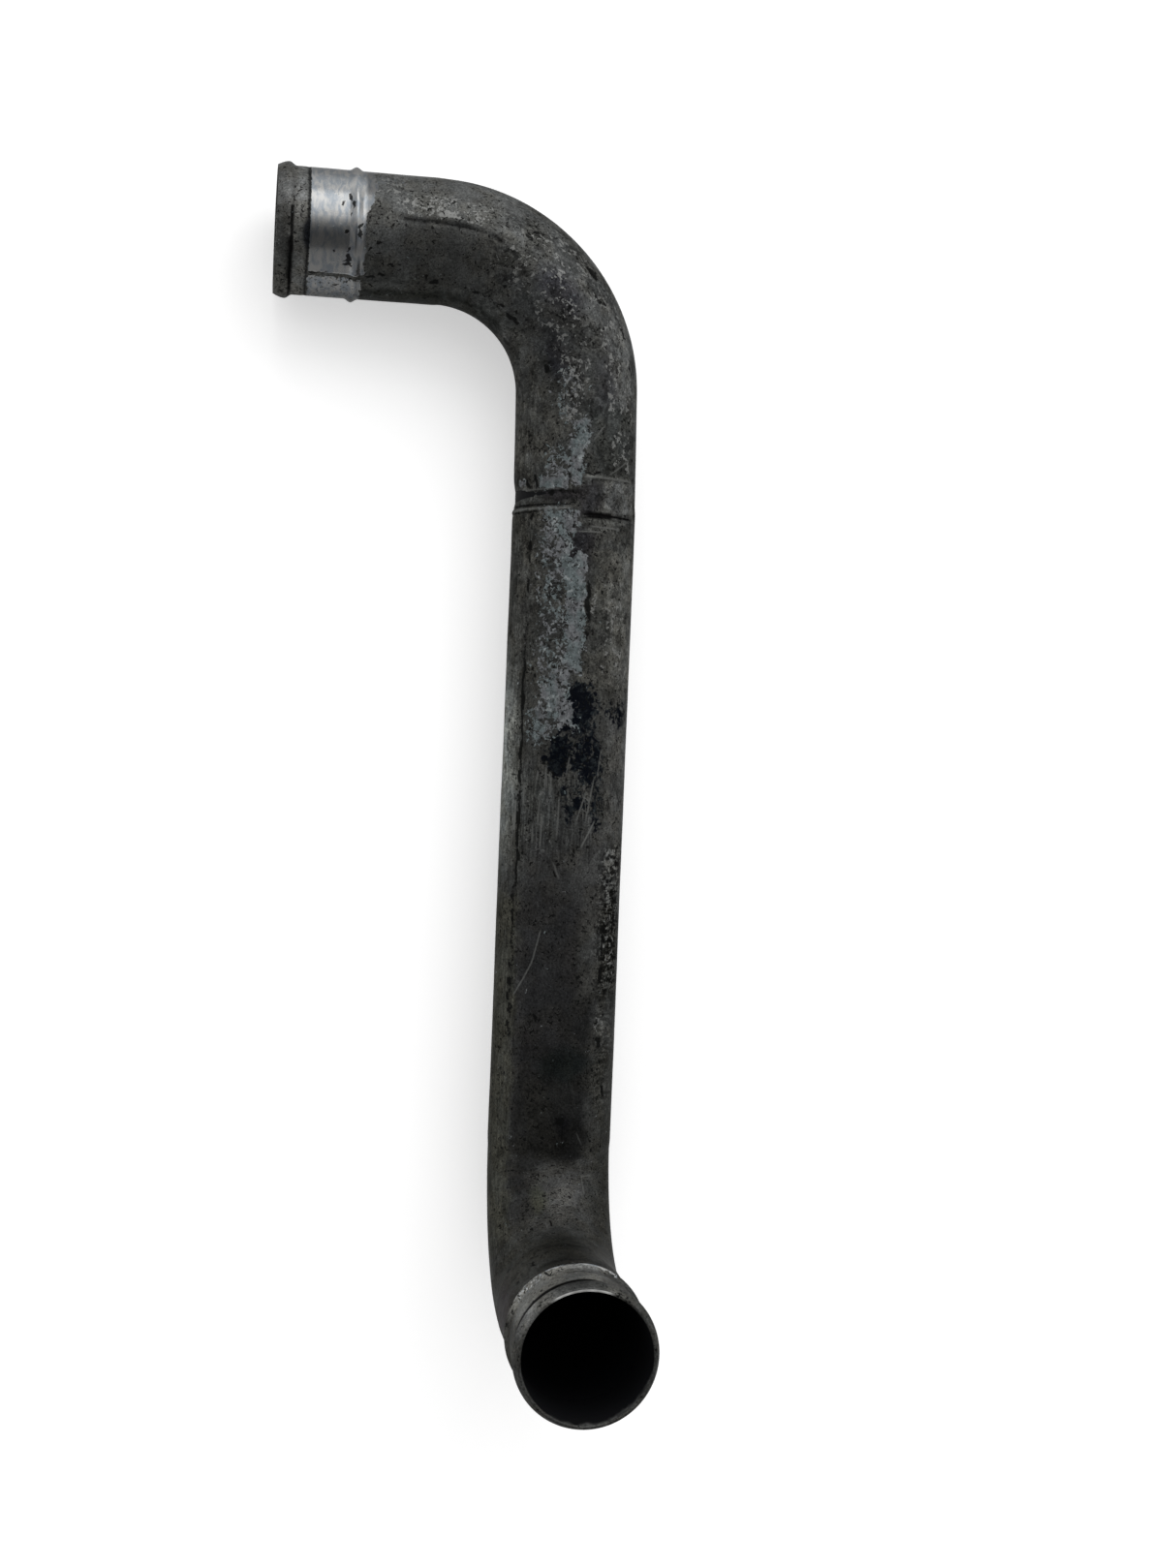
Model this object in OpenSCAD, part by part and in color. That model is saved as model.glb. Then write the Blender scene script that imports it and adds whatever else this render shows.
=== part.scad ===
// Bent hose pipe: one seam-welded tube with two bends in planes at right angles,
// and a rolled end bead and a rolled stop bead for a hose at each mouth.
// It lies on the underside of its straight run. Leg A lies beside it, towards -X at
// the +Y end, and leg B stands up towards +Z at the -Y end. The bender's clamp left a
// crease across the run, and the run turns a little there. The second bend was made a
// little out of square with the first, so leg B leans towards leg A's side.

/* [Tube] */
// Outside diameter of the tube
tube_d = 60; // [50:1:70]
// Wall thickness
wall_t = 1.5; // [1:0.1:2.5]
// Straight run between the two bends
run_len = 364; // [200:1:500]
// Distance from the bend to leg A down to the crease in the run
crease_pos = 56; // [20:1:120]
// How far the run turns at the crease, towards leg A
crease_angle = 1; // [0.5:0.5:4]

/* [Bends] */
// Centreline radius of the bend to leg A
bend_a_r = 70; // [55:1:100]
// Angle of the bend to leg A, past the crease
bend_a_angle = 89; // [60:1:100]
// Centreline radius of the bend to leg B
bend_b_r = 65; // [55:1:100]
// Angle of the bend to leg B
bend_b_angle = 89; // [60:1:100]
// How far leg B leans towards leg A's side, out of square with the bend to leg A
leg_b_lean = 1; // [0:0.5:4]
// How much smaller the tube's radius is where it was drawn through the bender
bend_draw = 0.3; // [0.2:0.1:0.6]

/* [Legs] */
// Straight length of leg A, from its bend to its mouth
leg_a_len = 78; // [60:1:140]
// Straight length of leg B, from its bend to its mouth
leg_b_len = 83; // [60:1:140]

/* [Hose beads] */
// Height of the end bead above the tube
end_bead_h = 1.8; // [1:0.1:3]
// Length over which the end bead rises from the mouth to its crest
end_bead_rise = 5.5; // [4:0.5:7]
// Length over which the end bead falls back to the tube
end_bead_fall = 3.5; // [2.5:0.5:5]
// Height of the stop bead above the tube
stop_bead_h = 1.6; // [1:0.1:3]
// Width of the stop bead
stop_bead_w = 7; // [5:0.5:10]
// Distance from the mouth to the middle of the stop bead
stop_bead_pos = 37; // [25:1:50]

/* [Hidden] */
tube_r = tube_d / 2;
bore_r = tube_r - wall_t;
bead_steps = 8;
// How far the straight stretches reach into the drawn ones
bend_lap = 0.5;
// How far the drawn stretch reaches into the run at the crease, past the turn there
crease_lap = ceil(bend_lap + tube_d * sin(crease_angle));
$fn = 96;

// Centre of leg A's mouth from the crease, before the turn at the crease and after it
reach_a_x = -bend_a_r * (1 - cos(bend_a_angle)) - leg_a_len * sin(bend_a_angle);
reach_a_y = crease_pos + bend_a_r * sin(bend_a_angle) + leg_a_len * cos(bend_a_angle);
mouth_a_x = reach_a_x * cos(crease_angle) - reach_a_y * sin(crease_angle);
mouth_a_y = reach_a_x * sin(crease_angle) + reach_a_y * cos(crease_angle);

// Centre of leg B's mouth from the crease, along the run and out from it
lower_len = run_len - crease_pos;
mouth_b_y = -lower_len - bend_b_r * sin(bend_b_angle) - leg_b_len * cos(bend_b_angle);
reach_b = bend_b_r * (1 - cos(bend_b_angle)) + leg_b_len * sin(bend_b_angle);

// The origin is under the middle of the whole pipe, level with its lowest bead
end_bead_r = tube_r + end_bead_h;
far_x = mouth_a_x;
near_x = max(tube_r, end_bead_r * cos(leg_b_lean) - reach_b * sin(leg_b_lean));
high_y = mouth_a_y + end_bead_r;
low_y = mouth_b_y + end_bead_rise * cos(bend_b_angle) - end_bead_r * sin(bend_b_angle);
run_x = -(far_x + near_x) / 2;
run_y = -(high_y + low_y) / 2;
run_z = end_bead_r;

// Height of a bead above the tube at a distance from the mouth
function end_bead(s) = s < end_bead_rise
    ? end_bead_h * sin(90 * s / end_bead_rise)
    : end_bead_h * (1 + cos(180 * (s - end_bead_rise) / end_bead_fall)) / 2;
function stop_bead(s) = stop_bead_h * (1 + cos(360 * (s - stop_bead_pos) / stop_bead_w)) / 2;

// Distances from the mouth at which the wall changes direction
end_bead_at = concat(
    [for (i = [0 : bead_steps]) end_bead_rise * i / bead_steps],
    [for (i = [1 : bead_steps]) end_bead_rise + end_bead_fall * i / bead_steps]);
stop_bead_at = [for (i = [0 : bead_steps]) stop_bead_pos + stop_bead_w * (i / bead_steps - 0.5)];

// One side of the wall of a leg, at radius r where there is no bead
function wall_side(r, len) = concat(
    [for (s = end_bead_at) [r + end_bead(s), len - s]],
    [for (s = stop_bead_at) [r + stop_bead(s), len - s]],
    [[r, -bend_lap]]);

function reversed(points) = [for (i = [len(points) - 1 : -1 : 0]) points[i]];

// A straight leg with its beads, from its bend at z = 0 up to its mouth. It is turned
// a quarter about its own axis, so that no edge of it starts on an edge of the bend.
module beaded_leg(length) {
    rotate([0, 0, 90])
        rotate_extrude()
            polygon(concat(wall_side(tube_r, length), reversed(wall_side(bore_r, length))));
}

// A bend that starts at the origin towards +Z and turns towards +X
module bend(radius, angle) {
    translate([radius, 0, 0])
        rotate([90, 0, 180])
            rotate_extrude(angle = angle)
                translate([radius, 0, 0])
                    difference() {
                        circle(r = tube_r - bend_draw);
                        circle(r = bore_r - bend_draw);
                    }
}

// A bend with its leg, started and turned the same way
module bent_leg(radius, angle, length) {
    bend(radius, angle);
    translate([radius * (1 - cos(angle)), 0, radius * sin(angle)])
        rotate([0, angle, 0])
            beaded_leg(length);
}

// A plain straight tube, up from z = 0
module straight_tube(length, draw) {
    linear_extrude(length)
        difference() {
            circle(r = tube_r - draw);
            circle(r = bore_r - draw);
        }
}

module pipe() {
    color("#85878a")
        translate([run_x, run_y, run_z]) {
            rotate([90, 0, 0])
                straight_tube(lower_len + bend_lap, 0);
            rotate([-90, 180, 0])
                rotate([0, crease_angle, 0]) {
                    translate([0, 0, -crease_lap])
                        straight_tube(crease_lap + crease_pos, bend_draw);
                    translate([0, 0, crease_pos])
                        bent_leg(bend_a_r, bend_a_angle, leg_a_len);
                }
            translate([0, -lower_len, 0])
                rotate([90, -90 - leg_b_lean, 0])
                    bent_leg(bend_b_r, bend_b_angle, leg_b_len);
        }
}

pipe();
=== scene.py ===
import math

import bpy
import numpy as np
from mathutils import Euler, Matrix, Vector, noise


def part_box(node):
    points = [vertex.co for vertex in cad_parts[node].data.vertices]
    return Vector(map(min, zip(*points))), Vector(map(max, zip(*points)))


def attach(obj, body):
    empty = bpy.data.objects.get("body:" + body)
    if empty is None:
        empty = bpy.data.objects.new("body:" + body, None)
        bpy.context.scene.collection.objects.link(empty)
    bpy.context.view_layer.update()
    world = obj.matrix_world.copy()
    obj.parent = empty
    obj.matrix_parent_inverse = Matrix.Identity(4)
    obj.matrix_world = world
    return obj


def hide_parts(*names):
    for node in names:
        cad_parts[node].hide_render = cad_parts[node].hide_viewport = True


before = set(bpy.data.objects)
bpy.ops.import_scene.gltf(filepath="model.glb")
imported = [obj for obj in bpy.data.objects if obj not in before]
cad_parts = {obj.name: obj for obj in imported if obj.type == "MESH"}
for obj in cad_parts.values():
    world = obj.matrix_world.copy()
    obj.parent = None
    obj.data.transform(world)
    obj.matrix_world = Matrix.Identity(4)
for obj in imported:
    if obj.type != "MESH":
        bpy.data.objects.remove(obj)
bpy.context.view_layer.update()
bpy.ops.object.select_all(action="DESELECT")

# ------------------------------------------------------------------ the pipe
# One length of aluminium tube, rolled from strip and welded along its side. Both ends were rolled
# into hose beads, and it was then pulled round two bends, whose clamp left a crease across the run.
# It is modelled in the maker's order: made straight along X first, and bent afterwards.

# Sizes in millimetres, and angles round the tube in degrees. Leg A lies down and leg B stands up,
# and places along the tube count from leg A's mouth.
tube_r = 30.0
wall = 1.5
drawn_in = 0.3
leg_a_len = 78.0
upper_run_len = 56.0
lower_run_len = 308.0
leg_b_len = 83.0
bend_a_r = 70.0
bend_b_r = 65.0
bend_a_turn = math.radians(89)
bend_b_turn = math.radians(89)
leg_b_lean = math.radians(1)
crease_turn = math.radians(1)
bend_a_from = leg_a_len
bend_a_to = bend_a_from + bend_a_r * bend_a_turn
crease_at = bend_a_to + upper_run_len
bend_b_from = crease_at + lower_run_len
bend_b_to = bend_b_from + bend_b_r * bend_b_turn
tube_len = bend_b_to + leg_b_len

end_bead_h = 1.8
end_bead_rise = 5.5
end_bead_len = 9.0
stop_bead_h = 1.6
stop_bead_w = 7.0
stop_bead_at = 37.0
seam_at = -52.0


def smooth(value, low, high):
    """0 below low, 1 above high, and an even curve between."""
    t = np.clip((value - low) / (high - low), 0, 1)
    return t * t * (3 - 2 * t)


def bead_lift(s):
    """Height of the hose beads above the tube at a distance along it."""
    d = np.minimum(s, tube_len - s)
    rise = end_bead_h * np.sin(np.pi / 2 * np.clip(d / end_bead_rise, 0, 1))
    fall = np.clip((d - end_bead_rise) / (end_bead_len - end_bead_rise), 0, 1)
    stop = np.clip((d - stop_bead_at) / stop_bead_w, -0.5, 0.5)
    end = np.where(d < end_bead_rise, rise, end_bead_h * (1 + np.cos(np.pi * fall)) / 2)
    return end + stop_bead_h * (1 + np.cos(2 * np.pi * stop)) / 2


def tube_radius(s):
    """Outside radius without beads: a little less where the tube was pulled round a bend."""
    upper = smooth(s, bend_a_from - 3, bend_a_from + 3) * (1 - smooth(s, crease_at - 2, crease_at + 2))
    lower = smooth(s, bend_b_from - 3, bend_b_from + 3) * (1 - smooth(s, bend_b_to - 3, bend_b_to + 3))
    return tube_r - drawn_in * (upper + lower)


def steps(start, stop, size):
    """Even places from start up to just before stop, about size apart."""
    return list(np.linspace(start, stop, max(1, round((stop - start) / size)), endpoint=False))


# The wall's outline: along the outside in fine steps, then back through the bore in coarse ones
near_mouth = steps(0, 9, 0.6) + steps(9, 12.5, 1.2) + steps(12.5, 17.5, 0.7)
near_mouth += steps(17.5, 33.5, 1.6) + steps(33.5, 40.5, 0.7)
outside = near_mouth + steps(40.5, crease_at - 17, 1.7) + steps(crease_at - 17, crease_at + 15, 0.65)
outside += steps(crease_at + 15, tube_len - 40.5, 1.8) + [tube_len - s for s in near_mouth[::-1]]
outside = sorted(set(outside))
mouth_bore = steps(0, 9, 1.5) + steps(9, 33.5, 25) + steps(33.5, 40.5, 1.4)
inside = mouth_bore + steps(40.5, bend_a_from, 40) + steps(bend_a_from, bend_a_to, 6)
inside += steps(bend_a_to, bend_b_from, 90) + steps(bend_b_from, bend_b_to, 6)
inside += [bend_b_to] + [tube_len - s for s in mouth_bore[::-1]]
outline = [(s, tube_radius(s) + bead_lift(s)) for s in outside]
outline += [(s, tube_radius(s) + bead_lift(s) - wall) for s in inside[::-1]]
facets_round = 160

bpy.ops.mesh.primitive_plane_add(size=1, location=(0, 0, 0))
pipe = bpy.context.object
pipe.name = "bent_hose_pipe"
bpy.ops.object.mode_set(mode="EDIT")
bpy.ops.mesh.merge(type="CENTER")
here = Vector((0, 0, 0))
for s, r in outline + outline[:1]:
    there = Vector((s, 0, r))
    bpy.ops.mesh.extrude_region_move(TRANSFORM_OT_translate={"value": there - here})
    here = there
bpy.ops.mesh.select_all(action="DESELECT")
bpy.ops.object.mode_set(mode="OBJECT")
# the first edge was drawn from the tube's axis, and isn't part of the wall
for vertex in pipe.data.vertices:
    vertex.select = vertex.co.length < 1
bpy.ops.object.mode_set(mode="EDIT")
bpy.ops.mesh.delete(type="VERT")
bpy.ops.mesh.select_all(action="SELECT")
bpy.ops.mesh.spin(steps=facets_round, angle=2 * math.pi, center=(0, 0, 0), axis=(1, 0, 0))
bpy.ops.mesh.select_all(action="SELECT")
bpy.ops.mesh.remove_doubles(threshold=0.01)
bpy.ops.mesh.normals_make_consistent(inside=False)
bpy.ops.object.mode_set(mode="OBJECT")

count = len(pipe.data.vertices)
flat = np.empty(count * 3)
pipe.data.vertices.foreach_get("co", flat)
straight = flat.reshape(count, 3)


def bend(points, s, start, radius, turn, towards):
    """Turns all that lies beyond start round a bend, towards one side of the tube."""
    turned = np.clip((s - start) / radius, 0, turn)
    beyond = points[:, 0] - start - turned * radius
    side = points @ towards
    out = points - np.outer(side, towards)
    out[:, 0] = start + np.sin(turned) * (radius - side) + np.cos(turned) * beyond
    new_side = radius - np.cos(turned) * (radius - side) + np.sin(turned) * beyond
    return out + np.outer(new_side, towards)


# where each vertex is: how far along, how many degrees round and how far out, and which are outside
s = straight[:, 0].copy()
angle = np.degrees(np.arctan2(straight[:, 1], straight[:, 2]))
radius = np.hypot(straight[:, 1], straight[:, 2])
skin = radius > tube_radius(s) + bead_lift(s) - wall / 2
# the vertices crowd towards the side that carries the seam and most of the marks
angle -= 20 * np.sin(np.radians(angle - seam_at))
straight[:, 1] = radius * np.sin(np.radians(angle))
straight[:, 2] = radius * np.cos(np.radians(angle))
arc = angle * math.radians(1) * tube_r
where = [Vector(p) for p in straight]


def lumps(size, place=0):
    """Smooth unevenness of about -1 to 1 over the tube, with bumps of a size in millimetres.

    Each place gives other bumps.
    """
    offset = Vector((place * 31.7, place * 17.3, place * 11.9))
    return np.array([noise.noise(p / size + offset) for p in where])


def dab(at, turned, long, wide, slant=0.0, soft=0.5):
    """1 inside an oval mark and 0 outside it: its place along and round the tube, and its size."""
    along = s - at
    across = arc - math.radians(turned) * tube_r
    c, q = math.cos(math.radians(slant)), math.sin(math.radians(slant))
    reach = np.hypot((along * c + across * q) / (long / 2), (across * c - along * q) / (wide / 2))
    return 1 - smooth(reach, 1 - soft, 1 + soft)


def patch(start, stop, low, high, soft=2.0):
    """1 inside a stretch of the tube between two places along it and two angles round it."""
    low, high = math.radians(low) * tube_r, math.radians(high) * tube_r
    along = smooth(s, start - soft, start + soft) * (1 - smooth(s, stop - soft, stop + soft))
    return along * smooth(arc, low - soft, low + soft) * (1 - smooth(arc, high - soft, high + soft))


def ridge(at, width):
    """1 on a line round the tube, and 0 a little way from it."""
    return np.exp(-(((s - at) / width) ** 2))


# ---- the lift of the skin off a clean tube, which waves a little, and less so near the mouths
lift = 0.16 * lumps(45) + 0.05 * lumps(13, 1) + 0.02 * lumps(4, 2)
ends = smooth(s, 8, 12) * (1 - smooth(s, tube_len - 12, tube_len - 8))
lift *= 0.35 + 0.65 * ends

# ---- the weld seam, a low ridge with an undercut beside it
seam = arc - math.radians(seam_at) * tube_r
lift += 0.20 * np.exp(-(((seam - 1.4) / 0.8) ** 2)) * ends
lift -= 0.18 * np.exp(-((seam / 0.7) ** 2)) * ends * (0.7 + 0.6 * lumps(6, 3))

# ---- the crease, where the bender's clamp dented the inner side and folded the wall in steps
inner = 0.5 + 0.5 * np.cos(np.radians(np.clip((angle + 95) * 1.3, -180, 180)))
lift -= 1.15 * ridge(237.5, 5.5) * inner
lift -= 0.40 * patch(231, 247, 8, 70, 1.0)
# each step's height, its place along the tube, its width, and the degrees round that it spans
folds = [
    (-0.35, 238.0, 1.3, -110, 2), (0.25, 236.0, 0.8, -62, -22), (0.32, 245.5, 0.8, -120, -12),
    (-0.28, 243.7, 0.9, -120, -12), (-0.22, 247.1, 0.8, -120, -40), (-0.75, 248.0, 0.9, 2, 50),
    (0.30, 230.3, 0.7, 4, 54), (-0.35, 228.4, 0.8, -3, 22), (0.22, 253.6, 0.7, 8, 36),
    (0.22, 256.0, 0.7, -4, 14),
]
for step, at, width, low, high in folds:
    lift += step * ridge(at, width) * patch(225, 260, low, high)

# ---- the groove beside leg A's hose land, and the long gouge behind its stop bead
lift -= 0.35 * ridge(14.6, 0.7) * (0.6 + 0.4 * patch(0, 30, -40, 10))
gouge = arc - math.radians(3.5) * tube_r - 0.8 * lumps(9, 4)
lift -= 0.5 * np.exp(-((gouge / 0.9) ** 2)) * patch(56, 97, -20, 40) * (0.8 + lumps(5, 5))
# splinters above the gouge, and the scarred side of the lower run
lift += 0.35 * np.clip(lumps(2.6, 6) - 0.1, 0, 1) * patch(57, 96, 6, 28)
lift += 0.30 * np.abs(lumps(3.0, 7)) * patch(408, 474, 28, 66)
# sunk a little, so that the rough skin keeps to the outline of the clean tube
sunk = 0.12
lift -= sunk

# ---- the bending, from leg B's end back to leg A's, and leg A's mouth put where the CAD has it
points = straight.copy()
points[:, 1:] *= (1 + np.where(skin, lift, 0) / radius)[:, None]
upwards = np.array((0.0, -math.sin(leg_b_lean), math.cos(leg_b_lean)))
backwards = np.array((0.0, -1.0, 0.0))
crease_len = 4.0
points = bend(points, s, bend_b_from, bend_b_r, bend_b_turn, upwards)
points = bend(points, s, crease_at - crease_len / 2, crease_len / crease_turn, crease_turn, backwards)
points = bend(points, s, bend_a_from, bend_a_r, bend_a_turn, backwards)
low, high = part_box("pipe")
bead_r = tube_r + end_bead_h
mouth_a = np.array((low.x * 1000, high.y * 1000 - bead_r, low.z * 1000 + bead_r))
points = (points + mouth_a) / 1000
pipe.data.vertices.foreach_set("co", points.ravel())
pipe.data.update()
bpy.ops.object.shade_smooth()

# ---- the colour of the metal, painted on the skin in zones, with painted light and shade among them
# s and arc are shaken first, and dab and patch read them, so that each zone has a wandering edge
true_s, true_arc = s, arc
s = s + 3.0 * lumps(9, 8) + 1.4 * lumps(3, 9)
arc = arc + 3.0 * lumps(9, 10) + 1.4 * lumps(3, 11)
tone_and_painted_light = np.tile((0.050, 0.0505, 0.048), (count, 1))


def tint(colour, amount):
    """Lays a colour over the metal as strongly as amount says."""
    amount = np.clip(amount, 0, 1)[:, None]
    tone_and_painted_light[:] = tone_and_painted_light * (1 - amount) + np.array(colour) * amount


# leg A and its bend: painted light where it faced the light, and painted shade underneath
tint((0.078, 0.079, 0.076), patch(40, 112, 10, 100, 5))
tint((0.100, 0.101, 0.098), patch(42, 112, 38, 100, 7))
tint((0.062, 0.063, 0.061), patch(108, 190, 14, 100, 6))
tint((0.086, 0.087, 0.084), patch(158, 206, 22, 70, 6))
tint((0.066, 0.067, 0.065), patch(40, 58, -30, 12, 4))
tint((0.017, 0.018, 0.0165), patch(40, 135, -130, -62, 5))
tint((0.032, 0.033, 0.031), patch(40, 135, -130, -73, 3))
tint((0.042, 0.043, 0.041), patch(42, 150, -62, -42, 6))
tint((0.043, 0.044, 0.043), patch(120, 190, -45, 0, 6))
tint((0.025, 0.025, 0.029), 0.8 * dab(141, 3, 26, 15, 10, 0.6) + 0.8 * dab(172, -25, 24, 9, 0, 0.6))
tint((0.030, 0.030, 0.033), 0.7 * dab(188, 20, 26, 12, 0, 0.6))
# the run above the crease and the crease itself
tint((0.058, 0.058, 0.054), patch(186, 228, -100, -25, 6))
tint((0.041, 0.043, 0.041), patch(196, 229, 4, 55, 5))
tint((0.092, 0.093, 0.090), patch(231, 246, 18, 64, 1.5))
tint((0.030, 0.0295, 0.0305), patch(233, 247, -6, 18, 2.5))
tint((0.022, 0.021, 0.022), patch(235, 241, -42, 2, 1.2))
tint((0.024, 0.0235, 0.025), patch(255, 272, -10, 10, 2.5))
# the warm grey side below it, and the bare grey stretch with long scratches, with a painted highlight along
# the tube's edge beside it
tint((0.068, 0.068, 0.062), patch(264, 300, 10, 80, 2))
tint((0.050, 0.050, 0.046), patch(300, 335, 8, 80, 6))
tint((0.086, 0.086, 0.080), patch(268, 330, 30, 80, 2.5))
tint((0.064, 0.064, 0.061), patch(335, 402, 36, 80, 5))
tint((0.050, 0.050, 0.046), patch(246, 330, -100, -38, 5))
tint((0.040, 0.040, 0.037), patch(242, 500, -57, -49, 1.6))
# a painted highlight along the tube's edge, in two dabs
tint((0.150, 0.157, 0.150), 1.1 * dab(368, -86, 84, 27, 0, 0.6))
tint((0.230, 0.240, 0.230), 0.9 * dab(354, -82, 40, 17, 0, 0.35))
tint((0.058, 0.060, 0.058), patch(372, 422, -52, -12, 4))
# the dark lower half, with an olive strip along the seam
tint((0.040, 0.040, 0.039), patch(404, 440, -44, 4, 7))
tint((0.052, 0.052, 0.050), patch(404, 444, 4, 40, 6))
tint((0.0245, 0.0240, 0.0240), patch(432, 560, -44, 12, 6))
tint((0.031, 0.031, 0.031), patch(428, 492, -44, 2, 7))
tint((0.0195, 0.0195, 0.0190), patch(478, 560, 2, 32, 6))
tint((0.0230, 0.0230, 0.0215), patch(516, 560, -40, 10, 6))
tint((0.0135, 0.0155, 0.0150), dab(509, 0, 15, 26, 0, 0.5))
tint((0.0120, 0.0120, 0.0115), dab(547, 9, 26, 17, 0, 0.5))
tint((0.0100, 0.0100, 0.0105), dab(538, 1, 9, 8, 0, 0.6))
tint((0.047, 0.047, 0.040), patch(430, 650, -180, -48, 2.0))
tint((0.024, 0.024, 0.022), patch(432, 480, 34, 180, 4))
tint((0.037, 0.037, 0.034), patch(500, 640, 32, 180, 6))
# the bend to leg B, with painted light on its inner side, which faced the light
tint((0.027, 0.027, 0.026), patch(556, 608, -46, -20, 5))
tint((0.044, 0.044, 0.042), patch(562, 620, -18, 24, 7))
# paler dabs of painted light on the bend's inner side
tint((0.060, 0.060, 0.058), dab(592, 6, 28, 10, -20, 0.6) + 0.8 * dab(586, 16, 24, 9, 0, 0.6))
tint((0.038, 0.039, 0.031), dab(592, -19, 26, 8, 0, 0.6))
tint((0.036, 0.036, 0.033), patch(612, 700, -150, -50, 7))
tint((0.040, 0.040, 0.037), patch(608, 640, -50, -20, 6))
tint((0.047, 0.047, 0.043), patch(640, 692, -52, -24, 6))
tint((0.055, 0.055, 0.052), patch(612, 636, -24, 12, 6))
tint((0.042, 0.042, 0.038), patch(636, 696, -24, 12, 5))
tint((0.044, 0.044, 0.041), patch(612, 676, 16, 150, 6))
tint((0.012, 0.012, 0.011), patch(674, 692, 18, 60, 5))
tint((0.036, 0.033, 0.033), patch(658, 694, -110, -68, 5))
s, arc = true_s, true_arc
# the gouge, darker along its groove, and three nicks beyond it
gouge_dark = np.exp(-(gouge ** 2)) * patch(59, 96, -20, 40, 1.5)
tint((0.007, 0.007, 0.007), gouge_dark * (0.95 + 0.8 * lumps(3, 20)))
nicks = dab(103, 3, 9, 2.2, -10) + 0.8 * dab(113, -2, 8, 2, -20) + 0.8 * dab(121, -9, 7, 2, -30)
tint((0.010, 0.010, 0.010), nicks)
# the crease's lines: painted shade in its folds and painted highlights on their edges
tint((0.004, 0.004, 0.004), 1.2 * patch(246.6, 249.6, 3, 28, 0.6) + 0.7 * patch(247.4, 248.8, 24, 60, 0.5))
tint((0.095, 0.097, 0.093), patch(250.4, 251.8, 0, 46, 0.5) + 0.8 * patch(254.2, 255.8, 2, 24, 0.6))
tint((0.090, 0.092, 0.088), 0.8 * patch(229.6, 230.8, 2, 58, 0.5))
tint((0.095, 0.098, 0.094), 0.8 * patch(245.0, 246.2, -84, -14, 0.5))
shadows = 0.7 * patch(243.0, 244.2, -84, -20, 0.5) + 0.6 * patch(236, 237.4, -60, -10, 0.6)
tint((0.006, 0.006, 0.006), shadows)
# leg A's hose end, cleaner than the rest, with painted shade under its end bead, painted light on top of
# its land, painted shade in the crevice behind the bead, and a dark ring in the groove beside the land
tint((0.098, 0.098, 0.095), patch(-9, 9, -200, 200, 0.8))
# painted shade under the end bead; then the land, with painted light on its top
tint((0.058, 0.058, 0.055), patch(-9, 6, -100, 8, 1.0))
tint((0.105, 0.105, 0.100), patch(9, 14, -200, 200, 0.6))
tint((0.120, 0.121, 0.118), patch(9, 13, 0, 100, 1.0))
s = true_s + 0.5 * lumps(5, 19)
# painted shade in the crevice behind the end bead, then the dark ring in the groove beside the land
tint((0.006, 0.006, 0.006), patch(6.3, 7.9, -200, 9, 0.5) + 0.8 * patch(5.2, 6.8, -58, -18, 0.8))
tint((0.016, 0.017, 0.017), patch(14.2, 15.3, -200, 200, 0.5))
tint((0.012, 0.013, 0.015), dab(15.0, -15, 5.5, 15, 0, 0.3))
s = true_s
# leg B's hose end and its beads, and two dark rings in the bend before it
tint((0.013, 0.013, 0.012), ridge(658.5, 1.2) * patch(640, 680, -30, 20, 4) * 0.6)
tint((0.010, 0.010, 0.010), ridge(684.5, 1.2) * patch(670, 700, -32, 30, 3) * 0.7)
tint((0.130, 0.130, 0.125), patch(694, 740, -200, 200, 1.0))
tint((0.172, 0.172, 0.163), patch(697, 723, -75, 12, 4))
tint((0.060, 0.060, 0.057), patch(694, 740, 20, 200, 5))
tint((0.055, 0.055, 0.052), patch(694, 740, -200, -72, 5))
tint((0.160, 0.160, 0.150), patch(706, 718, -66, -40, 3))
tint((0.062, 0.062, 0.059), patch(725, 740, -30, 14, 3))
tint((0.060, 0.060, 0.058), ridge(706, 0.5) * patch(700, 712, -12, 26))
# painted shade in the crevice between the land and the end bead
tint((0.008, 0.008, 0.008), patch(719.0, 724.2, -100, 8, 0.9))
tint((0.040, 0.040, 0.038), patch(719.5, 723.5, 8, 200, 1.2))
tint((0.220, 0.220, 0.210), dab(728, -51, 8, 6.5, 0, 0.3) - dab(728, -51, 3.5, 2.4, 0, 0.3))

# ---- crusts, stains and rubbed metal: how strongly each lies on the skin
s = s + 1.6 * lumps(5, 12) + 0.8 * lumps(2, 13)
arc = arc + 1.6 * lumps(5, 14) + 0.8 * lumps(2, 15)


def strongest(*marks):
    """The strongest of several marks at each place."""
    return np.clip(np.max(marks, axis=0), 0, 2)


# pale powdery oxide, in a streak that runs down from the bend past the crease
bloom = strongest(
    0.50 * patch(176, 206, -30, -6, 5),
    0.95 * patch(202, 216, -11, 6, 3),
    1.05 * patch(211, 234, -15, -1, 3),
    0.62 * patch(216, 232, -40, -12, 5),
    1.25 * patch(229.5, 235.5, -44, -14, 1.5),
    1.00 * patch(230, 234, -75, -60, 1.5),
    0.95 * patch(246, 257, -24, -3, 3),
    0.66 * patch(244, 280, -42, -6, 6),
    0.92 * patch(250, 278, -24, -9, 4),
    1.35 * patch(267, 303, -8, 4.5, 1.5),
    0.95 * patch(268, 324, -14, 5, 2.2),
    0.50 * patch(258, 335, -42, -10, 7),
    0.85 * patch(320, 347, -30, -6, 5),
    0.95 * dab(338, -17, 30, 11, 38),
    0.80 * patch(338, 358, -46, -19, 5),
)
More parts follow.
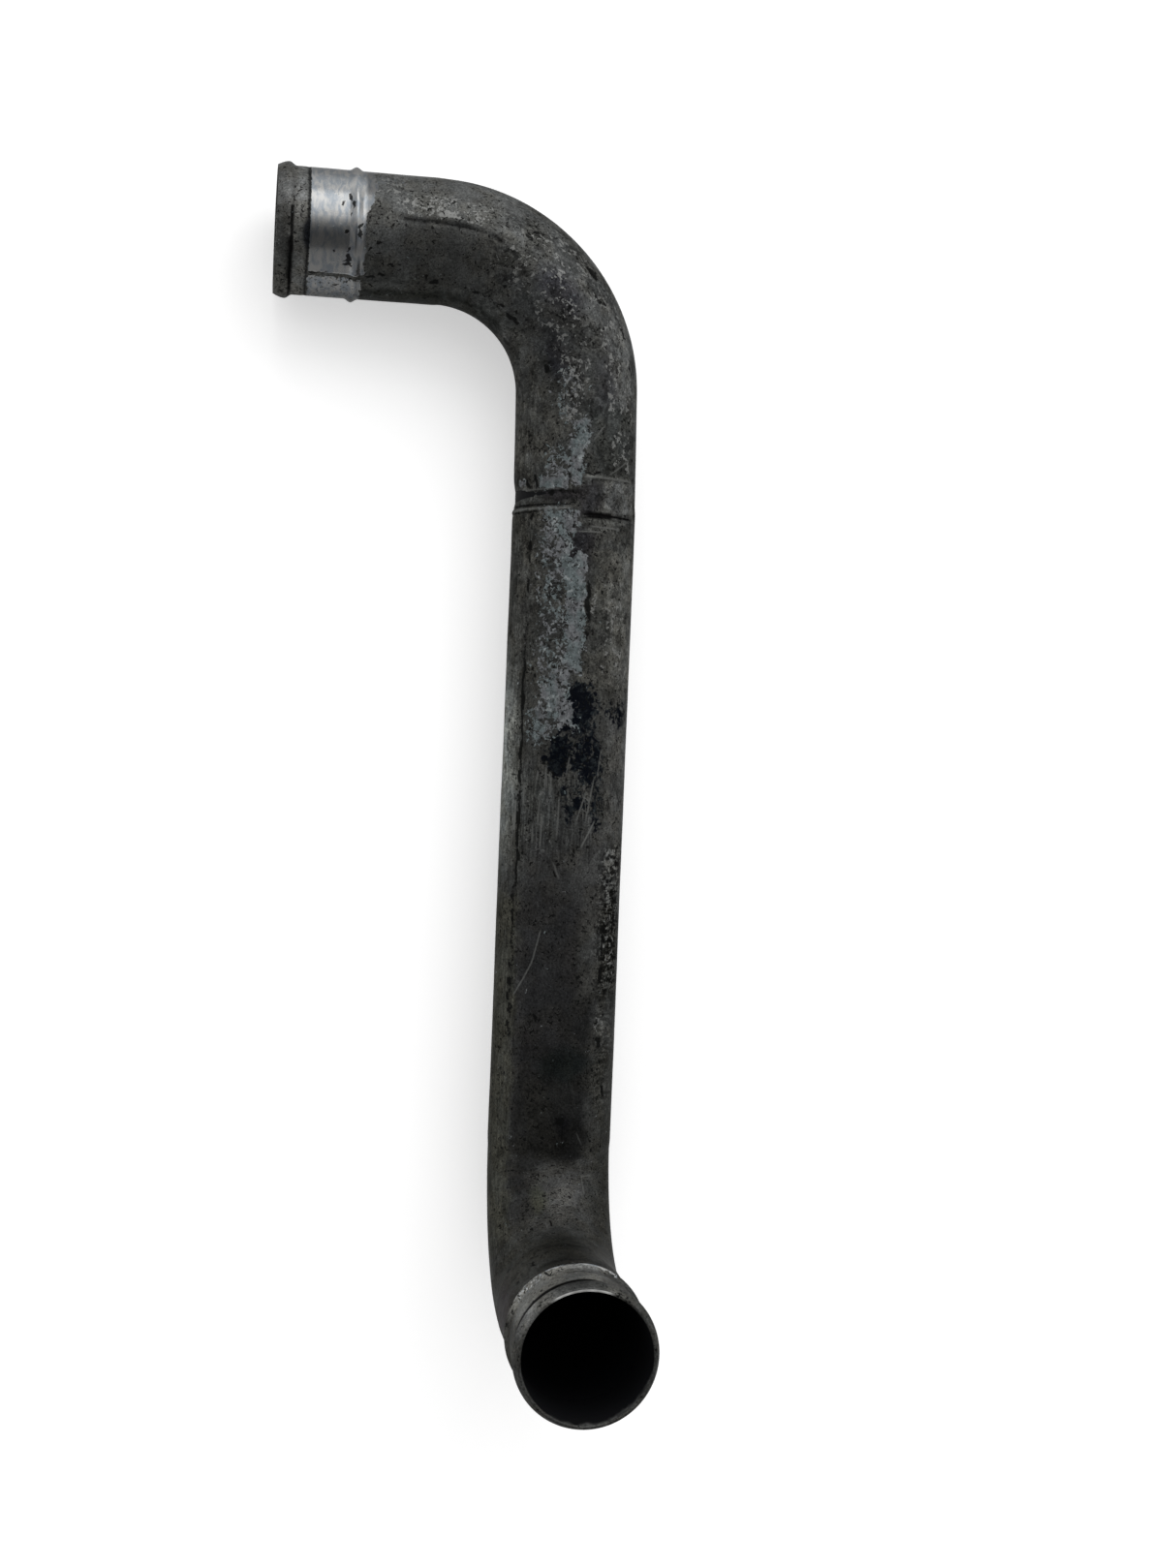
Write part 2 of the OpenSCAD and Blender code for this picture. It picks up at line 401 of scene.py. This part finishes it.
# bright flakes of bare metal
fleck = strongest(
    1.00 * patch(58, 96, 8, 22, 1.5),
    0.75 * patch(55, 98, 14, 32, 2),
    0.60 * patch(44, 60, 25, 60, 3),
    0.75 * dab(135, 10, 8, 9),
    0.85 * dab(149, 4, 6, 7),
    0.75 * dab(158, -18, 16, 5, 8),
    0.85 * dab(176, -14, 22, 10, 20),
    0.85 * patch(178, 205, -24, -2, 2),
    0.60 * patch(112, 204, 14, 60, 6),
    0.56 * patch(100, 190, -34, 14, 6),
    0.70 * patch(206, 228, 25, 55, 3),
    0.56 * patch(276, 326, 18, 58, 4),
    0.80 * patch(284, 300, 8, 16, 1.5),
    0.50 * patch(374, 412, -50, -14, 3),
    0.55 * patch(404, 475, 34, 66, 4),
    0.80 * patch(484, 494, 30, 46, 2),
    0.45 * patch(560, 620, -10, 28, 5),
)
# dark scabs and pits: place along the tube, degrees round it, length, width and slant of each
scabs = [
    (30.0, 16.5, 1.3, 2.4, 0), (34.2, 22, 1.8, 4.5, 10), (35.4, 14, 1.5, 4.5, 0), (34.6, 6, 1.3, 3.5, 0),
    (31.2, 3.5, 0.8, 1.0, 0), (32.0, -9.5, 3.4, 1.8, 0), (38.8, -4, 1.8, 4.5, -15), (38.6, -12, 1.4, 4, 0),
    (34.0, -25, 1.2, 4, 0), (34.0, -34, 2.2, 5, 0), (34.2, -41, 3.0, 2.2, 0), (27.0, -28, 1.8, 1.3, 10),
    (17.2, -51.5, 3.2, 1.6, 0), (22, -50.5, 6, 0.7, 0), (30.7, -51.5, 2, 2, 0), (33, -55, 1, 4.5, 0),
    (35.6, -55, 1, 5, 0), (44.6, -51.5, 3.6, 2.6, 0), (50, -48.5, 4, 1.4, 0), (48, -26, 5, 1.3, -20),
    (48, -18, 2, 1.2, 0), (28.5, -64, 2.2, 2.4, 0), (75, -51, 5.6, 3.6, 0), (88.5, -50, 2, 1.6, 0),
    (104, -52, 4, 2.6, 0), (113, -50, 2, 1.4, 0), (124, -49.5, 6, 1.4, 0), (133, -50.5, 6, 2.4, 0),
    (139, -49, 7, 3.0, 0), (107, 26, 1.6, 1.1, 0), (81.5, 27, 0.9, 1.5, 0), (142, 45, 6, 4.5, 0),
    (151, 33, 5, 3, 10), (176, -37, 5, 3, 0), (166, 50, 3, 2.2, 0), (118, -33, 2.5, 1.6, 0),
    (228.3, 10, 1.6, 9, 0), (230, -14.5, 8, 1.2, 0), (256.5, -21, 3, 1.0, 0), (237.8, -32, 2.2, 4, 0),
    (233, -48, 8, 1.6, 0), (232, -58.5, 6, 1.6, 0), (249.5, -49.5, 4.5, 1.8, 0), (264, -50, 4, 2.2, 0),
    (247, -14, 3, 1, 0), (270, -52, 4, 1.8, 0), (289, 7.5, 22, 2.4, 0), (304, 7, 8, 1.2, 0),
    (448, -23, 1.4, 2.2, 0), (456, -17, 1.8, 1.4, 0), (488, -25, 2, 3.5, 0), (467, -3, 1.2, 0.9, 0),
    (431, -56, 3.5, 1.8, 0), (441, -56, 2, 1.6, 0), (452, -56, 2, 1.4, 0), (463, -57, 2.4, 1.6, 0),
    (471, -57, 3.5, 1.9, 0), (478, -57, 4, 2.2, 0), (485, -57, 3.5, 1.9, 0), (492, -57, 3, 2.1, 0),
    (516, -57, 2, 1.6, 0), (524, -57, 2, 1.5, 0), (537, 0, 4, 5, 0), (452, 38, 20, 1.4, 0),
    (466, 37, 10, 3.0, 0), (499, 38, 6, 3.0, 20), (490, 33, 4, 2.0, -20), (509, 40, 3, 1.6, 10),
    (523, 46, 6, 3, 0), (409, 3, 8, 0.8, 0), (419, -13, 2, 1.2, 20), (438, -55, 2, 2.4, 0),
    (505, -57, 1.3, 2.8, 0),
    (552, -19, 4, 1.0, 0), (571, -17, 3, 1.0, 0), (620, -27, 5, 1.4, 0), (618, -8, 7, 1.0, 0),
    (631, -8, 4, 1.4, 5), (674, -35, 9, 1.8, 0), (700, -27.5, 6.5, 1.5, 24), (691.3, -26, 2.2, 9, 0),
    (694, -33, 5, 1.4, 0), (684, 23, 3.4, 6, 0), (690, 3, 2, 6, 30), (651.5, -57, 5, 3, 0),
    (679, -54, 5, 1.8, 0),
]
scab = strongest(*[dab(*mark, 0.35) for mark in scabs])
# the dark line in the seam's undercut, dashed below the crease
seam_dark = strongest(
    0.55 * patch(98, 122, -54, -49, 0.8),
    0.95 * patch(250, 322, -53.5, -50.5, 0.6) * (0.65 + 0.9 * lumps(6, 21)),
    1.10 * patch(318, 426, -54.5, -50.5, 0.6) * (0.85 + 0.5 * lumps(6, 21)),
    0.55 * patch(424, 500, -57, -52, 0.8),
    0.35 * patch(560, 690, -56, -53, 0.6),
)
scab = strongest(scab, seam_dark)
# blue-black stains
stain = strongest(
    1.30 * dab(340, 4, 21, 19, 0, 0.5),
    1.20 * dab(363, -14, 18, 14, 0, 0.45),
    1.15 * dab(364, 15, 19, 17, 0, 0.5),
    0.70 * dab(351, 3, 26, 18, 0, 0.6),
    0.80 * dab(384, 25, 24, 7, 0, 0.6),
    0.62 * dab(383, 4, 26, 13, 0, 0.8),
    0.60 * dab(341, 45, 13, 17, 0, 0.6),
)
# how strongly the old oxide flakes, which is wildest on the upper half
flaky = 0.30 + 0.70 * patch(100, 400, -180, 180, 14) + 0.5 * patch(408, 474, 26, 180, 4)
flaky = np.clip(flaky - 0.5 * patch(330, 420, -60, 30, 5) - 0.3 * patch(40, 100, -60, 0, 5), 0.15, 1)
flaky *= 1 - 0.8 * patch(640, 760, -200, 200, 8)
# short scars down one side, and the fine lines of drawn or rubbed metal
torn = 1.1 * patch(406, 476, 32, 70, 5) + 0.5 * patch(478, 530, 32, 60, 5)
brushed = 0.55 * patch(366, 416, -50, 24, 6) + 0.4 * patch(180, 640, -110, -46, 2)
s, arc = true_s, true_arc

# metal that the hose and its clamp kept bright, which mirrors the light and dark of the room, together with
# painted highlights on leg B's stop bead
s = s + 0.9 * lumps(3, 16)
edge = 41.5 + 4.5 * smooth(arc, -2, 18) + 1.6 * lumps(4, 17)
rubbed_and_highlight = (1 - smooth(s, edge - 0.8, edge + 0.8)) * smooth(true_s, 15, 16) * smooth(arc, -27, -25.5)
rubbed_and_highlight = strongest(rubbed_and_highlight, 0.46 * patch(42, 62, 36, 90, 5), 0.62 * patch(15.5, 41, -140, -54, 0.8))
# painted highlights on leg B's stop bead
rubbed_and_highlight = strongest(rubbed_and_highlight, 1.0 * patch(696, 698.6, -29, 19, 0.5), 0.55 * patch(695, 700, 17, 34, 1.0))
rubbed_and_highlight = strongest(rubbed_and_highlight, 0.42 * patch(696, 703, -64, -31, 1.5), 0.62 * patch(701, 703, -56, -46, 1.0))
# a painted highlight along the edge of the mouths' rims, on one side
rim_highlight = smooth(arc, -20, -15) * (1 - smooth(arc, 7, 11)) * np.clip(0.95 + 0.8 * lumps(4, 18), 0, 1)
s = true_s
# painted reflection: how light the rubbed metal is, by degrees round the tube on leg A, in light and dark
# bands that mirror the room, and evenly elsewhere, which on leg B sets the painted highlights on its stop
# bead
painted_bare_reflection = np.interp(np.degrees(arc / tube_r), (-70, -56, -47, -30, -25, -14, -6, -1, 3, 12, 22, 35, 50, 80),
                  (0.13, 0.14, 0.20, 0.17, 0.13, 0.14, 0.18, 0.22, 0.30, 0.215, 0.25, 0.31, 0.20, 0.19))
painted_bare_reflection = np.where(s > 41, 0.12, painted_bare_reflection)
painted_bare_reflection = np.where(s > tube_len / 2, 0.30, painted_bare_reflection)

# ---- scratches, and the crease's fold lines as painted highlights and painted shade: from, to, each as a place
# along the tube and degrees round it, then how pale the line is, or how dark where that is below 0
scratches_and_fold_lines = [
    (394, 22, 405, 11, 1.0), (381, 12, 393, 5, 0.8), (384, -12, 400, -12.5, 0.8),
    (369, -25, 377, -25.5, 1.0), (393, -27, 406, -28, 0.9), (371, -33, 376, -34, 0.8),
    (447, -24.5, 461, -31, 0.8), (461, -31, 469, -39, 0.8), (469, -39, 477, -49, 0.8),
    (364, -4, 371, -6, 0.6), (222, 45, 228, 27, 0.6), (374, 20, 392, 14, 0.7), (360, 27, 372, 24, 0.5),
    # the lines round the tube from 230 to 256 along lie on the crease's folds: the pale ones are painted
    # highlights on their edges, the dark ones painted shade in them
    (415, -14, 420, -10, 0.7), (206, 18, 212, 9, 0.5), (253.6, 9, 253.8, 36, 0.8),
    (256, 15, 256.3, -3, 0.9), (245.5, -14, 245.5, -84, 0.8), (236, -24, 236, -62, 0.5),
    (230.3, 2, 230.4, 52, 0.8), (248, 1, 248.1, 53, -1.0), (243.6, -14, 243.6, -80, -0.6),
    (247, -44, 247, -84, -0.7), (543, 18, 547, 22, 0.3), (386, -57, 398, -57, 1.0),
    (372, -20, 381, -20.5, 0.9), (397, -36, 404, -36, 0.8), (385, -30, 395, -31, 0.8),
    (391, -60, 403, -59.5, 0.8), (377, -47, 386, -47, 0.9), (570, 33, 571, 24, 0.6),
    (571, 24, 584, 26, 0.5), (616, -13, 624, -12, 0.5),
]
# each vertex keeps the line nearest to it: how far beside it, how far within its ends, how pale
nearest = np.full(count, 1e3)
line = np.zeros((count, 3))
for start_s, start_a, stop_s, stop_a, pale in scratches_and_fold_lines:
    start_point = np.array((start_s, math.radians(start_a) * tube_r))
    run = np.array((stop_s, math.radians(stop_a) * tube_r)) - start_point
    length = np.hypot(*run)
    along = ((s - start_point[0]) * run[0] + (arc - start_point[1]) * run[1]) / length
    side = ((s - start_point[0]) * run[1] - (arc - start_point[1]) * run[0]) / length
    beyond = np.maximum(np.maximum(-along, along - length), 0)
    gap = np.hypot(beyond, side)
    closer = gap < nearest
    nearest[closer] = gap[closer]
    within = 1 - smooth(beyond, 0, 1.5)
    line[closer] = np.stack([side, within, np.full(count, pale)], -1)[closer]
line[:, 1] *= 1 - smooth(nearest, 2.0, 3.0)

# all that was painted is stored on the tube's vertices, for its materials to read
painted = {
    "straight": straight, "tone_and_painted_light": tone_and_painted_light, "bloom": bloom, "fleck": fleck, "scab": scab, "stain": stain,
    "flaky": flaky, "torn": torn, "brushed": brushed, "rubbed_and_highlight": rubbed_and_highlight, "rim_highlight": rim_highlight,
    "painted_bare_reflection": painted_bare_reflection, "line": line,
}
for name, values in painted.items():
    kind = "FLOAT_VECTOR" if values.ndim == 2 else "FLOAT"
    field = "vector" if values.ndim == 2 else "value"
    pipe.data.attributes.new(name, kind, "POINT").data.foreach_set(field, values.ravel())

# ---- the finish of the skin
metal = bpy.data.materials.new("oxidised_aluminium")
metal.use_nodes = True
nodes, links = metal.node_tree.nodes, metal.node_tree.links


def put(value, socket):
    """Links an output to a socket, or sets the socket to a number or colour."""
    if isinstance(value, bpy.types.NodeSocket):
        links.new(value, socket)
    elif hasattr(socket.default_value, "__len__") and len(socket.default_value) == 4:
        socket.default_value = (*value, 1)
    else:
        socket.default_value = value


def read(name, output="Fac"):
    """What was painted under a name."""
    node = nodes.new("ShaderNodeAttribute")
    node.attribute_name = name
    return node.outputs[output]


def calc(operation, a, b=0.0):
    """One sum on two values, each of them an output or a number."""
    node = nodes.new("ShaderNodeMath")
    node.operation = operation
    put(a, node.inputs[0])
    put(b, node.inputs[1])
    return node.outputs[0]


def rise(value, low, high):
    """0 below low and 1 above high."""
    node = nodes.new("ShaderNodeMapRange")
    node.interpolation_type = "SMOOTHSTEP"
    put(value, node.inputs["Value"])
    node.inputs["From Min"].default_value = low
    node.inputs["From Max"].default_value = high
    return node.outputs["Result"]


def layer(under, over, amount, kind="MIX"):
    """One colour laid over another as strongly as amount says."""
    node = nodes.new("ShaderNodeMix")
    node.data_type = "RGBA"
    node.blend_type = kind
    put(amount, node.inputs["Factor"])
    put(under, node.inputs["A"])
    put(over, node.inputs["B"])
    return node.outputs["Result"]


def split(vector):
    """The three parts of a vector."""
    node = nodes.new("ShaderNodeSeparateXYZ")
    put(vector, node.inputs[0])
    return node.outputs[0], node.outputs[1], node.outputs[2]


def scaled(vector, factors):
    """A vector whose three parts are each multiplied by a factor."""
    node = nodes.new("ShaderNodeVectorMath")
    node.operation = "MULTIPLY"
    put(vector, node.inputs[0])
    node.inputs[1].default_value = factors
    return node.outputs["Vector"]


place = read("straight", "Vector")


def from_mouth():
    """Distance along the tube from the nearer mouth."""
    along = split(place)[0]
    return calc("MINIMUM", along, calc("SUBTRACT", tube_len, along))


def speckle(size, detail=2.0, twist=0.0, stretch=None, output="Fac"):
    """Noise with lumps of a size in millimetres, about 0.5 on average."""
    node = nodes.new("ShaderNodeTexNoise")
    node.inputs["Scale"].default_value = 1 / size
    node.inputs["Detail"].default_value = detail
    node.inputs["Distortion"].default_value = twist
    put(scaled(place, stretch) if stretch else place, node.inputs["Vector"])
    return node.outputs[output]


def total(*parts):
    """The sum of several values, each given with its share."""
    result = 0.0
    for value, share in parts:
        result = calc("ADD", calc("MULTIPLY", value, share), result)
    return result


def opposite(value):
    """1 where the value is 0, and 0 where it is 1."""
    return calc("SUBTRACT", 1.0, value)


def swing(texture, spread):
    """A texture moved to swing about 0 instead of 0.5, and spread wider or narrower."""
    return calc("MULTIPLY", calc("SUBTRACT", texture, 0.5), spread)


def broken(amount, texture, spread, low=0.5, high=0.62):
    """Breaks a painted amount into patches with the texture's outline."""
    return rise(calc("ADD", amount, swing(texture, spread)), low, high)


def grey(value, low, high):
    """A factor for a colour: low where the value is 0, and high where it is 1."""
    return calc("ADD", calc("MULTIPLY", value, high - low), low)


def chips(size, stretch=(1, 1, 1)):
    """Angular patches about a size in millimetres across, each with a value of its own from 0 to 1."""
    moved = nodes.new("ShaderNodeVectorMath")
    moved.operation = "MULTIPLY_ADD"
    put(speckle(size / 0.7, 3, output="Color"), moved.inputs[0])
    moved.inputs[1].default_value = (3.5 * size, 3.5 * size, 3.5 * size)
    put(place, moved.inputs[2])
    cells = nodes.new("ShaderNodeTexVoronoi")
    cells.inputs["Scale"].default_value = 1 / size
    put(scaled(moved.outputs["Vector"], stretch), cells.inputs["Vector"])
    single = nodes.new("ShaderNodeSeparateColor")
    put(cells.outputs["Color"], single.inputs["Color"])
    return single.outputs["Red"]


# textures that several of the layers share, with sizes in millimetres
grain = speckle(1.1, 3)
fine = rise(speckle(0.6, 1), 0.28, 0.72)
sand = rise(grain, 0.28, 0.72)
flakes = speckle(3.0, 4, 0.6)
huge_chips = chips(6.5, (0.6, 1, 1))
big_chips = chips(3.2, (0.7, 1, 1))
small_chips = chips(1.5)
strokes = chips(0.9, (1, 0.15, 0.15))
clouds = speckle(11, 3)
feather = speckle(2.6, 4, 0.9)
drawn = speckle(1.3, 3, 0.3, (0.12, 1, 1))

# the oxide: its painted colour, with the painted light and shade in it, made uneven by clouds, grains,
# flakes, scars and drawn lines
colour = read("tone_and_painted_light", "Vector")
warm = rise(clouds, 0.40, 0.60)
colour = layer(colour, layer((0.98, 1.0, 1.02), (1.01, 1.0, 0.97), warm), 1.0, "MULTIPLY")
patches = total((big_chips, 0.35), (small_chips, 0.30), (huge_chips, 0.35))
patches = calc("MULTIPLY", read("flaky"), calc("SUBTRACT", patches, 0.5))
scars = total((strokes, 0.55), (small_chips, 0.45))
scars = calc("MULTIPLY", read("torn"), calc("SUBTRACT", rise(scars, 0.40, 0.78), 0.36))
fine_lines = calc("MULTIPLY", read("brushed"), calc("SUBTRACT", rise(drawn, 0.38, 0.62), 0.5))
shade = grey(rise(speckle(8, 5, 0.6), 0.42, 0.58), 0.87, 1.13)
for texture, low, high in (
    (fine, 0.74, 1.26),
    (sand, 0.74, 1.26),
    (patches, 1.0, 2.6),
    (scars, 1.0, 2.9),
    (fine_lines, 1.0, 2.1),
):
    shade = calc("MULTIPLY", shade, grey(texture, low, high))
colour = layer(colour, shade, 1.0, "MULTIPLY")

# bare metal where the hose rubbed, and painted highlights on leg B's stop bead, streaked blue-grey and
# white and as light as the painted reflection says
bright = broken(read("rubbed_and_highlight"), grain, 1.1, 0.42, 0.58)
bare = layer((0.74, 0.81, 0.88), (1.14, 1.14, 1.12), rise(speckle(2.4, 4, 0.6, (1, 0.4, 0.4)), 0.36, 0.62))
bare = layer(bare, read("painted_bare_reflection"), 1.0, "MULTIPLY")
colour = layer(colour, bare, bright)
# the stains
uneven = total((feather, 2.4), (big_chips, 0.9))
dark = rise(calc("ADD", read("stain"), calc("SUBTRACT", uneven, 1.65)), 0.30, 0.80)
dark = calc("MULTIPLY", dark, rise(read("stain"), 0.02, 0.25))
dark_colour = layer((0.0022, 0.0032, 0.0058), (0.0150, 0.0190, 0.0215), rise(small_chips, 0.60, 0.98))
colour = layer(colour, dark_colour, calc("MULTIPLY", dark, 0.96))
# the pale crust
ragged = calc("ADD", swing(feather, 2.0), swing(small_chips, 0.5))
crust = rise(calc("ADD", read("bloom"), ragged), 0.52, 0.68)
crust_colour = layer((0.094, 0.112, 0.115), (0.111, 0.115, 0.121), rise(speckle(9, 2), 0.42, 0.58))
crust_colour = layer(crust_colour, (0.205, 0.222, 0.225), rise(speckle(3.4, 4, 0.8), 0.52, 0.72))
crust_colour = layer(crust_colour, grey(small_chips, 0.62, 1.38), 1.0, "MULTIPLY")
crust_colour = layer(crust_colour, grey(sand, 0.80, 1.20), 1.0, "MULTIPLY")
colour = layer(colour, crust_colour, crust)
# bright flakes, then scabs and pits
flake = rise(calc("MULTIPLY", read("fleck"), small_chips), 0.47, 0.50)
flake = calc("MULTIPLY", flake, rise(flakes, 0.42, 0.50))
colour = layer(colour, (0.190, 0.192, 0.186), calc("MULTIPLY", flake, 0.75))
pit = broken(read("scab"), grain, 1.6, 0.5, 0.62)
spots = rise(calc("ADD", speckle(1.5, 2, 0.8), swing(clouds, 0.3)), 0.615, 0.655)
pit = calc("MAXIMUM", pit, calc("MULTIPLY", spots, opposite(bright)))
colour = layer(colour, (0.0065, 0.0068, 0.0066), calc("MULTIPLY", pit, 0.92))

# a painted highlight on the inner edge of the rims
outward = nodes.new("ShaderNodeVectorMath")
outward.operation = "LENGTH"
put(scaled(place, (0, 1, 1)), outward.inputs[0])
bore_r = tube_r - wall
inner_edge = opposite(rise(outward.outputs["Value"], bore_r + 0.8, bore_r + 1.2))
rim = calc("MULTIPLY", opposite(rise(from_mouth(), 0.15, 0.45)), read("rim_highlight"))
rim = calc("MULTIPLY", rim, inner_edge)
colour = layer(colour, (0.95, 0.95, 0.93), rim)
# the scratches, and the crease's fold lines, pale ones as painted highlights and dark ones as painted
# shade, with slightly rough sides
beside, within, pale = split(read("line", "Vector"))
off_line = calc("ADD", calc("ABSOLUTE", beside), swing(sand, 0.3))
on_line = calc("MULTIPLY", opposite(rise(off_line, 0.22, 0.58)), within)
pale_scratch_and_fold_highlight = calc("MULTIPLY", on_line, calc("MAXIMUM", pale, 0.0))
dark_scratch_and_fold_shade = calc("MULTIPLY", on_line, calc("MAXIMUM", calc("MULTIPLY", pale, -1.0), 0.0))
colour = layer(colour, (0.125, 0.127, 0.122), calc("MULTIPLY", pale_scratch_and_fold_highlight, 0.8))
colour = layer(colour, (0.004, 0.004, 0.004), dark_scratch_and_fold_shade)

# crust is rougher than the oxide and bare metal is smoother, and flakes stand up and pits lie lower
roughness = total((grey(clouds, 0.46, 0.60), 1.0), (crust, 0.22), (bright, -0.27))
relief = ((fine, 0.10), (sand, 0.30), (patches, 0.8), (scars, 1.2), (crust, 0.8), (flake, 0.7), (pit, -1.2))
height = total(*relief)
height = calc("MULTIPLY", height, opposite(calc("MULTIPLY", bright, 0.8)))
bump = nodes.new("ShaderNodeBump")
bump.inputs["Strength"].default_value = 0.7
bump.inputs["Distance"].default_value = 0.00015
put(height, bump.inputs["Height"])

skin_shader = nodes["Principled BSDF"]
skin_shader.inputs["Specular Tint"].default_value = (0.45, 0.45, 0.45, 1)
put(colour, skin_shader.inputs["Base Color"])
put(roughness, skin_shader.inputs["Roughness"])
put(opposite(calc("MULTIPLY", crust, 0.7)), skin_shader.inputs["Metallic"])
put(bump.outputs["Normal"], skin_shader.inputs["Normal"])
pipe.data.materials.append(metal)

# ---- the bore, painted near black as shade deeper in, behind a lighter lip
bore_finish = bpy.data.materials.new("bore_painted_shade")
bore_finish.use_nodes = True
nodes, links = bore_finish.node_tree.nodes, bore_finish.node_tree.links
place = read("straight", "Vector")
bore_shader = nodes["Principled BSDF"]
depth = calc("ADD", from_mouth(), swing(speckle(5, 4), 5.0))
lip_colour = layer((0.035, 0.036, 0.036), (0.095, 0.097, 0.095), rise(speckle(2.5, 4), 0.4, 0.6))
lip = opposite(rise(depth, 5.5, 7.0))
put(layer((0.0008, 0.0010, 0.0018), lip_colour, lip), bore_shader.inputs["Base Color"])
bore_shader.inputs["Roughness"].default_value = 0.85
bore_shader.inputs["Specular IOR Level"].default_value = 0.15
pipe.data.materials.append(bore_finish)
for face in pipe.data.polygons:
    face.material_index = 0 if skin[face.vertices[0]] or skin[face.vertices[2]] else 1

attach(pipe, "root")
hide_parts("pipe")

# ------------------------------------------------------------------ the studio
# A wide white floor, a soft box on the far side, and a room that is brighter on that side and dim
# overhead, which the bare metal shows.
bpy.ops.mesh.primitive_plane_add(size=12, location=(0, 0, 0))
floor = bpy.context.object
floor.name = "studio_floor"
paper = bpy.data.materials.new("white_paper")
paper.use_nodes = True
nodes, links = paper.node_tree.nodes, paper.node_tree.links
nodes.clear()
# the paper glows only where the camera or a reflection sees it, so that it shows as white
output = nodes.new("ShaderNodeOutputMaterial")
lit = nodes.new("ShaderNodeBsdfDiffuse")
lit.inputs["Color"].default_value = (0.8, 0.8, 0.8, 1)
glow = nodes.new("ShaderNodeEmission")
glow.inputs["Strength"].default_value = 0.45
seen = nodes.new("ShaderNodeAddShader")
links.new(lit.outputs[0], seen.inputs[0])
links.new(glow.outputs[0], seen.inputs[1])
path = nodes.new("ShaderNodeLightPath")
direct = calc("MAXIMUM", path.outputs["Is Camera Ray"], path.outputs["Is Glossy Ray"])
pick = nodes.new("ShaderNodeMixShader")
links.new(direct, pick.inputs[0])
links.new(lit.outputs[0], pick.inputs[1])
links.new(seen.outputs[0], pick.inputs[2])
links.new(pick.outputs[0], output.inputs[0])
floor.data.materials.append(paper)

world = bpy.data.worlds.new("room")
bpy.context.scene.world = world
world.use_nodes = True
nodes, links = world.node_tree.nodes, world.node_tree.links
background = nodes["Background"]
background.inputs["Color"].default_value = (1, 1, 1, 1)
direction = nodes.new("ShaderNodeTexCoord").outputs["Generated"]


def room_part(towards, low, high, low_light, high_light):
    """Brightness that changes from one value to another with the direction looked in."""
    dot = nodes.new("ShaderNodeVectorMath")
    dot.operation = "DOT_PRODUCT"
    links.new(direction, dot.inputs[0])
    dot.inputs[1].default_value = Vector(towards).normalized()
    return grey(rise(dot.outputs["Value"], low, high), low_light, high_light)


far_wall = room_part((0.25, 1, 0), -0.15, 0.35, 0.55, 1.1)
overhead = room_part((-0.12, -0.30, 1), 0.86, 0.95, 1.0, 0.4)
links.new(calc("MULTIPLY", far_wall, overhead), background.inputs["Strength"])

bpy.ops.object.light_add(type="AREA", location=(0.4, 1.5, 1.3))
key = bpy.context.object
key.name = "soft_box"
key.data.shape = "RECTANGLE"
key.data.size = 1.8
key.data.size_y = 1.2
key.data.energy = 12
aim = Vector((0, 0, 0.05)) - key.location
key.rotation_euler = aim.to_track_quat("-Z", "Y").to_euler()

# ------------------------------------------------------------------ the camera
# Held level over the pipe and a little to the left, so that it looks into the standing mouth.
look_at = Vector((0.0719, -0.0084, 0.0318))
distance = 1.0643
tilt = Euler((math.radians(-0.766), math.radians(-9.534), math.radians(2.33)))
bpy.ops.object.camera_add(location=look_at + tilt.to_matrix() @ Vector((0, 0, distance)), rotation=tilt)
camera = bpy.context.object
camera.name = "camera"
camera.data.lens = 50
camera.data.sensor_width = 36
camera.data.clip_end = 100
bpy.context.scene.camera = camera
bpy.context.scene.view_settings.view_transform = "Standard"
